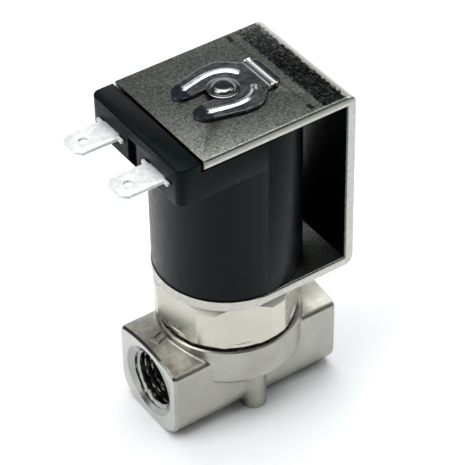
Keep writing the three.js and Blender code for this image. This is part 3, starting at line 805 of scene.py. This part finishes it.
def coil_housing():
    """The moulding: a drum with a square head, hollow for the winding, blades and leads."""
    front, half, high, low, r, back = HEAD.values()
    coil_r = 14.85
    drum = lathe("coil_case", [
        (0, COIL_LOW), (coil_r - 0.4, COIL_LOW), (coil_r - 0.1, COIL_LOW + 0.1), (coil_r, COIL_LOW + 0.4),
        (coil_r, COIL_HIGH), (0, COIL_HIGH)], 180)
    outline = [(0, -half), (0, half)] + arc(front + r, half - r, r, 90, 180, 8)
    outline += arc(front + r, -half + r, r, 180, 270, 8)
    head = soften(prism("head", outline, low, high), 0.32, 3, 60)
    fuse(drum, head)
    past, wall, cavity_r, bore_r, lead_y = 2, 1.9, 13.2, 7.7, 5.9
    recess = block(back, 3, -20, 20, COIL_HIGH, high + past)
    notch = block(front - past, front + 1.3, -0.75, 2.25, low + 0.35, high - 2.5)
    cavity = rod(cavity_r, COIL_LOW + wall, COIL_HIGH - wall, sides=96)
    bore = rod(bore_r, COIL_LOW - past, COIL_HIGH + past, sides=96)
    pockets = [slot_across(side * BLADE_Y, 2.7, front - past, -16.2, 67.8, 69.0) for side in SIDES]
    channels = [slot_across(side * lead_y, 0.6, -17, -10.8, 67, 68.2) for side in SIDES]
    cut(drum, recess, notch, cavity, bore, *pockets, *channels)
    return soften(drum, 0.18, 2, 40)


def slot_across(y, half, x0, x1, z0, z1):
    return block(x0, x1, y - half, y + half, z0, z1)


def blade(name, side):
    """A 6.3 mm push-on tab with wedged tip edges and a latch hole."""
    half, tip, chamfer, thick = 3.15, -29.3, 1.3, 0.8
    shoulder, shoulder_half, front, root, root_half = -20.5, 4.3, -19.9, -16.4, 2.5
    upper = [(root, root_half), (front, root_half), (front, shoulder_half), (shoulder, shoulder_half),
             (shoulder, half), (tip + chamfer, half), (tip, half - chamfer)]
    outline = upper + [(x, -y) for x, y in reversed(upper)]
    low = BLADE_TOP - thick
    tab = prism(name, outline, low, BLADE_TOP)
    rise, run, sunk, width, latch_r, latch_x = 0.36, 1.1, 0.06, 5, 0.9, -26
    wedge = [(tip - 1, rise), (tip, rise), (tip + run, 0), (tip + run, -1), (tip - 1, -1)]
    lower = [(x, low + z - sunk) for x, z in reversed(wedge)]
    upper = [(x, BLADE_TOP - z + sunk) for x, z in wedge]
    under = prism("wedge", lower, -width, width, "Y")
    over = prism("wedge", upper, -width, width, "Y")
    cut(tab, rod(latch_r, low - 1, BLADE_TOP + 1, latch_x, 0, 48), under, over)
    soften(tab, 0.12, 2, 30)
    tab.data.transform(Matrix.Translation((0, side * BLADE_Y * MM, 0)))
    return tab


# ------------------------------------------------------------------ retaining clip
CLIP_LOW = 73.35
CLIP_THICK = 0.5


def along(path, amount):
    """The point part of the way along a polyline."""
    lengths = [math.dist(a, b) for a, b in zip(path, path[1:])]
    left = amount * sum(lengths)
    for a, b, length in zip(path, path[1:], lengths):
        if left <= length:
            t = left / length
            return (a[0] + (b[0] - a[0]) * t, a[1] + (b[1] - a[1]) * t)
        left -= length
    return path[-1]


def rounded(path, rounds=3):
    """Cuts a polyline's corners again and again, which leaves a smooth curve."""
    for _ in range(rounds):
        made = [path[0]]
        for a, b in zip(path, path[1:]):
            made.append((0.75 * a[0] + 0.25 * b[0], 0.75 * a[1] + 0.25 * b[1]))
            made.append((0.25 * a[0] + 0.75 * b[0], 0.25 * a[1] + 0.75 * b[1]))
        path = made + [path[-1]]
    return path


def distance_to(path, x, y):
    """From a point to the nearest place on a polyline."""
    best = 1e9
    for (ax, ay), (bx, by) in zip(path, path[1:]):
        dx, dy = bx - ax, by - ay
        t = max(0, min(1, ((x - ax) * dx + (y - ay) * dy) / (dx * dx + dy * dy)))
        best = min(best, math.hypot(x - ax - t * dx, y - ay - t * dy))
    return best


CLIP_RIB = rounded([
    (-5.9, 4.2), (-3.35, 4.8), (-1, 5.3), (0.9, 5.35), (2.8, 4.95), (4.3, 3.95), (5.0, 2.7)])


def clip_height(x, y):
    """How high the clip's skin stands over its flat plate at one place."""
    fold, tip, drop = -5.9, -8.8, 0.25
    bead_x, bead_half, bead_rise = 8.25, 0.85, 0.55
    rib_half, rib_height, crest = 0.62, 0.3, 0.02
    off = min(1, distance_to(CLIP_RIB, x, abs(y)) / rib_half)
    height = rib_height * (math.sqrt(1 + crest) - math.sqrt(off * off + crest))
    if x < fold:
        height -= drop * (fold - x) / (fold - tip)
    off = min(1, abs(x - bead_x) / bead_half)
    return height + bead_rise * (0.5 + 0.5 * math.cos(math.pi * off))


def retaining_clip():
    """A spring-steel fork: two ribbed prongs round the slot, then a bead and a flat tongue."""
    slot = 1.8
    prong = rounded([(-8.45, 4.7), (-7.7, 5.75), (-5.6, 6.2), (-2, 7.3), (0, 7.8), (1.6, 7.8)], 3)
    rear = rounded([(1.6, 7.8), (3.2, 7.8), (5.0, 6.7), (6.5, 5.0), (7.2, 4.55), (7.8, 4.6)], 3)
    rear += [(8.9, 4.6)] + arc(9.0, 4.45, 0.25, 80, 0, 4) + arc(9.7, 3.2, 0.8, 90, 0, 8) + [(10.5, 0)]
    inner_prong = [(-8.4, 2.5), (-7.8, 1.95), (-7.0, slot), (0, slot)]
    across, prong_steps, rear_steps = 56, 110, 130
    lines = []
    for k in range(prong_steps + rear_steps + 1):
        if k <= prong_steps:
            t = k / prong_steps
            inner, outer = along(inner_prong, t), along(prong, t)
        else:
            t = (k - prong_steps) / rear_steps
            angle = math.pi / 2 * (1 - t)
            inner, outer = (slot * math.cos(angle), slot * math.sin(angle)), along(rear, t)
        bulge = 0.42 * max(0, 1 - k / 12)
        lines.append((inner, outer, bulge))
    points, faces = [], []
    mirrored = [((i[0], -i[1]), (o[0], -o[1]), b) for i, o, b in reversed(lines[:-1])]
    for inner, outer, bulge in lines + mirrored:
        for j in range(across + 1):
            v = j / across
            x = inner[0] + (outer[0] - inner[0]) * v - bulge * 4 * v * (1 - v)
            y = inner[1] + (outer[1] - inner[1]) * v
            points.append((x, y, CLIP_LOW + CLIP_THICK + clip_height(x, y)))
    row = across + 1
    for k in range(len(points) // row - 1):
        for j in range(across):
            a = k * row + j
            faces.append((a, a + row, a + row + 1, a + 1))
    clip = new_piece("clip_spring", points, faces)
    mesh = bmesh.new()
    mesh.from_mesh(clip.data)
    bmesh.ops.recalc_face_normals(mesh, faces=mesh.faces)
    if sum(face.normal.z for face in mesh.faces) < 0:
        bmesh.ops.reverse_faces(mesh, faces=mesh.faces)
    mesh.to_mesh(clip.data)
    mesh.free()
    solidify = clip.modifiers.new("thickness", "SOLIDIFY")
    solidify.thickness = CLIP_THICK * MM
    solidify.offset = -1
    settle(clip)
    return bevel(clip, 0.08, 2, 50)


# ------------------------------------------------------------------ plunger's spring
SPRING_LOW, SPRING_HIGH = 31.1, 46.15


def return_spring():
    """Round wire with a closed turn at each end."""
    wire_r, coil_r, turns, steps, sides = 0.32, 2.45, 7, 48, 12
    bottom, top, closed = SPRING_LOW + wire_r, SPRING_HIGH - wire_r, 0.66
    open_pitch = (top - bottom - 2 * closed) / (turns - 2)
    sections = []
    for k in range(turns * steps + 1):
        turn = k / steps
        opened = min(max(turn - 1, 0), turns - 2)
        z = bottom + open_pitch * opened + closed * (turn - opened)
        angle = 2 * math.pi * turn
        outward = Vector((math.cos(angle), math.sin(angle), 0))
        up = Vector((0, 0, 1))
        centre = coil_r * outward + z * up
        ring = [centre + wire_r * (math.cos(a) * outward - math.sin(a) * up)
                for a in (2 * math.pi * j / sides for j in range(sides))]
        sections.append([tuple(point) for point in ring])
    return loft("return_spring", sections)


# ------------------------------------------------------------------ the valve
nickel, machined, threaded, bar = cast_nickel(), machined_nickel(), thread_nickel(), bar_nickel()
steel, plastic, zinc, tin = stainless(), coil_plastic(), yoke_zinc(), bright_tin()
wire = copper()

body = valve_body()
finish_piece(body, "valve", "plated_brass", "valve_body", nickel, machined, threaded)
mark_machined(body)
finish_piece(bonnet_nut(), "valve", "plated_brass", "bonnet_nut", bar, sharp=22)
finish_piece(fixed_core(), "valve", "stainless", "fixed_core", stud_steel())
plate = yoke()
finish_piece(plate, "coil", "yoke_steel", "yoke", zinc, edge_zinc(), inner_zinc())
mark_edges(plate)
finish_piece(coil_housing(), "coil", "coil_plastic", "coil_housing", plastic)
for hand, side in (("left", 1), ("right", -1)):
    finish_piece(blade(f"tab_{hand}", side), "coil", "tinned_brass", f"terminal_{hand}", tin)
steel_spring = spring_steel()
finish_piece(retaining_clip(), "clip", "spring_steel", "retaining_clip", steel_spring)
coil_spring = finish_piece(return_spring(), "valve", "spring_steel", "plunger_spring", steel_spring)
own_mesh(coil_spring)

kept_nodes = {
    "valve_seat": steel,
    "bonnet_o_ring": soft_plastic("rubber", (0.02, 0.02, 0.02), 0.6, 0.4),
    "guide_tube": steel,
    "shading_ring": wire,
    "plunger": steel,
    "yoke_bush": zinc,
    "coil_bobbin": soft_plastic("nylon", (0.62, 0.57, 0.44), 0.45, 0.5),
    "coil_winding": wire,
    "winding_tape": soft_plastic("tape", (0.55, 0.36, 0.04), 0.5, 0.3),
    "winding_lead_left": wire,
    "winding_lead_right": wire,
}
kept_nodes["plunger_seal"] = kept_nodes["bonnet_o_ring"]
for name, material in kept_nodes.items():
    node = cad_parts[name]
    node.data.materials.clear()
    node.data.materials.append(material)


# ------------------------------------------------------------------ floor, light and camera
def floor():
    """A plain pale floor, in metres like the rest of the studio."""
    half = 2.5
    corners = [(-half, -half, 0), (half, -half, 0), (half, half, 0), (-half, half, 0)]
    mesh = bpy.data.meshes.new("floor")
    mesh.from_pydata(corners, [], [(0, 1, 2, 3)])
    plane = bpy.data.objects.new("floor", mesh)
    bpy.context.scene.collection.objects.link(plane)
    finish = Finish("floor", (0.92, 0.94, 0.95), 0.7, 0.0, 0.2)
    mesh.materials.append(finish.material)


def backdrop():
    """A white screen all round, which only the camera sees, so that the lamps' light stays as it is."""
    radius, bottom, top, sides = 0.72, -0.01, 2, 64
    turns = [2 * math.pi * k / sides for k in range(sides)]
    ring = [(radius * math.cos(turn), radius * math.sin(turn)) for turn in turns]
    points = [(x, y, z) for z in (bottom, top) for x, y in ring]
    faces = [(k, (k + 1) % sides, (k + 1) % sides + sides, k + sides) for k in range(sides)]
    mesh = bpy.data.meshes.new("backdrop")
    mesh.from_pydata(points, [], faces + [tuple(range(sides, 2 * sides))])
    screen = bpy.data.objects.new("backdrop", mesh)
    bpy.context.scene.collection.objects.link(screen)
    finish = Finish("backdrop", (0, 0, 0), 1.0, 0.0, 0.0)
    finish.shader.inputs["Emission Color"].default_value = (1, 1, 1, 1)
    finish.shader.inputs["Emission Strength"].default_value = 1
    mesh.materials.append(finish.material)
    screen.visible_diffuse = False
    screen.visible_glossy = False
    screen.visible_transmission = False
    screen.visible_shadow = False


def softbox(name, place, radiance, width, height):
    """A soft lamp that faces the valve and that the camera can't see."""
    lamp = bpy.data.lights.new(name, "AREA")
    lamp.shape = "RECTANGLE"
    lamp.size = width
    lamp.size_y = height
    lamp.energy = radiance * math.pi * width * height
    box = bpy.data.objects.new(name, lamp)
    box.location = place
    target = Vector((0, 0, 0.035))
    box.rotation_euler = (target - Vector(place)).to_track_quat("-Z", "Y").to_euler()
    box.visible_camera = False
    bpy.context.scene.collection.objects.link(box)


def studio():
    """A dim room, very slightly cooler behind the valve, with five soft lamps."""
    near_color, far_color = (0.14, 0.145, 0.15, 1), (0.14, 0.15, 0.155, 1)
    behind, far_from, strength = (0.52, 0.77, 0.37), 0.6, 0.6
    world = bpy.data.worlds.new("studio")
    bpy.context.scene.world = world
    world.use_nodes = True
    nodes, links = world.node_tree.nodes, world.node_tree.links
    dot = nodes.new("ShaderNodeVectorMath")
    dot.operation = "DOT_PRODUCT"
    dot.inputs[1].default_value = behind
    links.new(nodes.new("ShaderNodeTexCoord").outputs["Generated"], dot.inputs[0])
    ramp = nodes.new("ShaderNodeValToRGB")
    ramp.color_ramp.elements[0].color = near_color
    ramp.color_ramp.elements[1].color = far_color
    ramp.color_ramp.elements[1].position = far_from
    links.new(dot.outputs["Value"], ramp.inputs["Fac"])
    background = nodes["Background"]
    links.new(ramp.outputs["Color"], background.inputs["Color"])
    background.inputs["Strength"].default_value = strength
    softbox("key", (-0.62, 0.1, 0.68), 3.6, 0.58, 0.58)
    softbox("overhead", (0.05, 0.05, 0.9), 4.2, 0.8, 0.8)
    softbox("high_back", (0.12, 0.33, 0.64), 1.0, 0.7, 0.15)
    softbox("side", (0.8, -0.35, 0.75), 2.6, 0.5, 0.4)
    softbox("low_back", (0.205, 0.305, 0.13), 1.0, 0.8, 0.27)


def camera():
    """The camera stands in front of the inlet's right, looking down about 40 degrees."""
    place = Vector((-0.18869, -0.28307, 0.33009))
    forward = Vector((0.4235, 0.6305, -0.6504)).normalized()
    right = Vector((0.8226, -0.5684, -0.0155))
    data = bpy.data.cameras.new("camera")
    data.lens = 178.14
    data.sensor_width = 36
    data.clip_start = 0.01
    piece = bpy.data.objects.new("camera", data)
    right = (right - right.dot(forward) * forward).normalized()
    up = right.cross(forward)
    turn = Matrix((right, up, -forward)).transposed()
    piece.matrix_world = Matrix.Translation(place) @ turn.to_4x4()
    bpy.context.scene.collection.objects.link(piece)
    bpy.context.scene.camera = piece


floor()
backdrop()
studio()
camera()
bpy.context.scene.view_settings.view_transform = "Standard"
